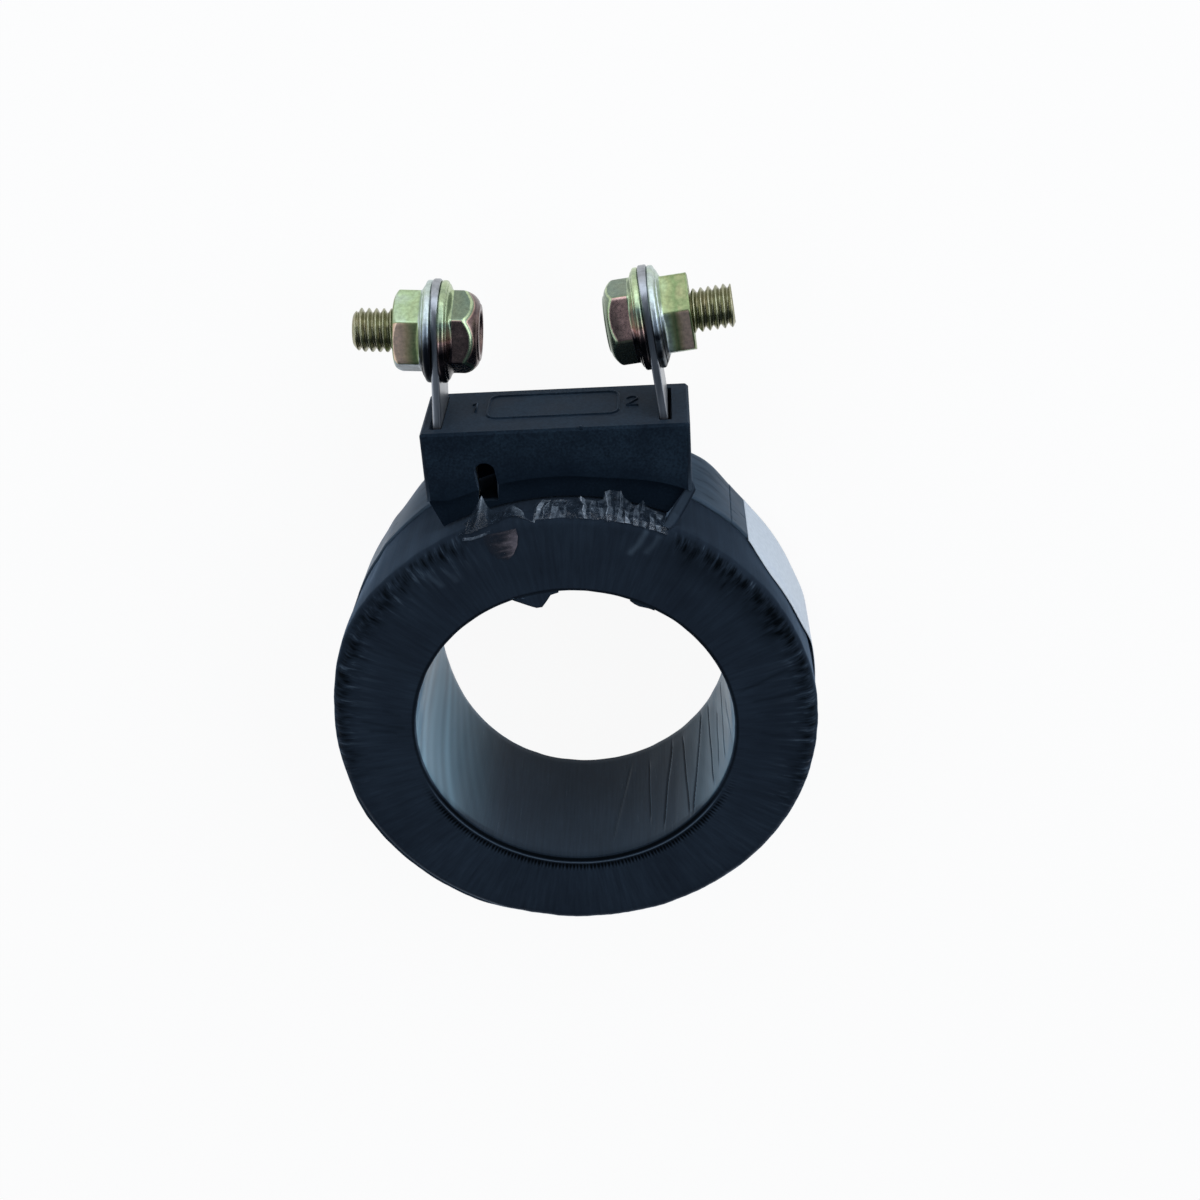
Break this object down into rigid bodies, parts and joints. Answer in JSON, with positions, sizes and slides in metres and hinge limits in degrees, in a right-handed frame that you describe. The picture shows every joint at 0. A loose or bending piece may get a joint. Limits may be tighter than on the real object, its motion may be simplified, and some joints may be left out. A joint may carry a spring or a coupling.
{
  "type": "window current transformer",
  "caption": "Film-wrapped ring current transformer with a round window and a moulded saddle block holding lugs with flange bolts and nuts.",
  "frame": {"origin": "centre of the window, midway between the ring's two flat faces", "axes": "+Z along the window's axis and out of the front face, away from the back face it rests on; +Y across the ring to the terminal block; +X to the right when the front face is seen with the block at the top"},
  "size_m": [0.0711, 0.1008, 0.0268],
  "materials": {
    "core_steel": "edges of rolled silicon steel strip",
    "pressboard": "plain pressboard",
    "enamelled_copper": "enamelled copper wire",
    "clear_film": "pale polyester tape",
    "black_film": "black polyester film, satin gloss, drawn into fine pleats",
    "grey_band": "smooth dark band over the film",
    "label_paper": "pale label, blank",
    "block_plastic": "moulded black plastic, fine spark-eroded texture",
    "tinned_strip": "bright tin plate",
    "yellow_zinc": "zinc plated with yellow iridescent passivation",
    "sleeving": "woven sleeving",
    "solder": "bright solder"
  },
  "bodies": {
    "root": {"core": "core_steel", "core_liner_inner": "pressboard", "core_liner_outer": "pressboard", "core_collar_front": "pressboard", "core_collar_back": "pressboard", "secondary_winding": "enamelled_copper", "winding_wrap": "clear_film", "outer_wrap": "black_film", "rim_band": "grey_band", "rating_label": "label_paper", "terminal_block": "block_plastic", "terminal_lug_1": "tinned_strip", "terminal_lug_2": "tinned_strip", "terminal_bolt_1": "yellow_zinc", "terminal_bolt_2": "yellow_zinc", "terminal_nut_1": "yellow_zinc", "terminal_nut_2": "yellow_zinc", "lead_sleeve_1": "sleeving", "lead_sleeve_2": "sleeving", "solder_joint_1": "solder", "solder_joint_2": "solder"}
  },
  "joints": []
}
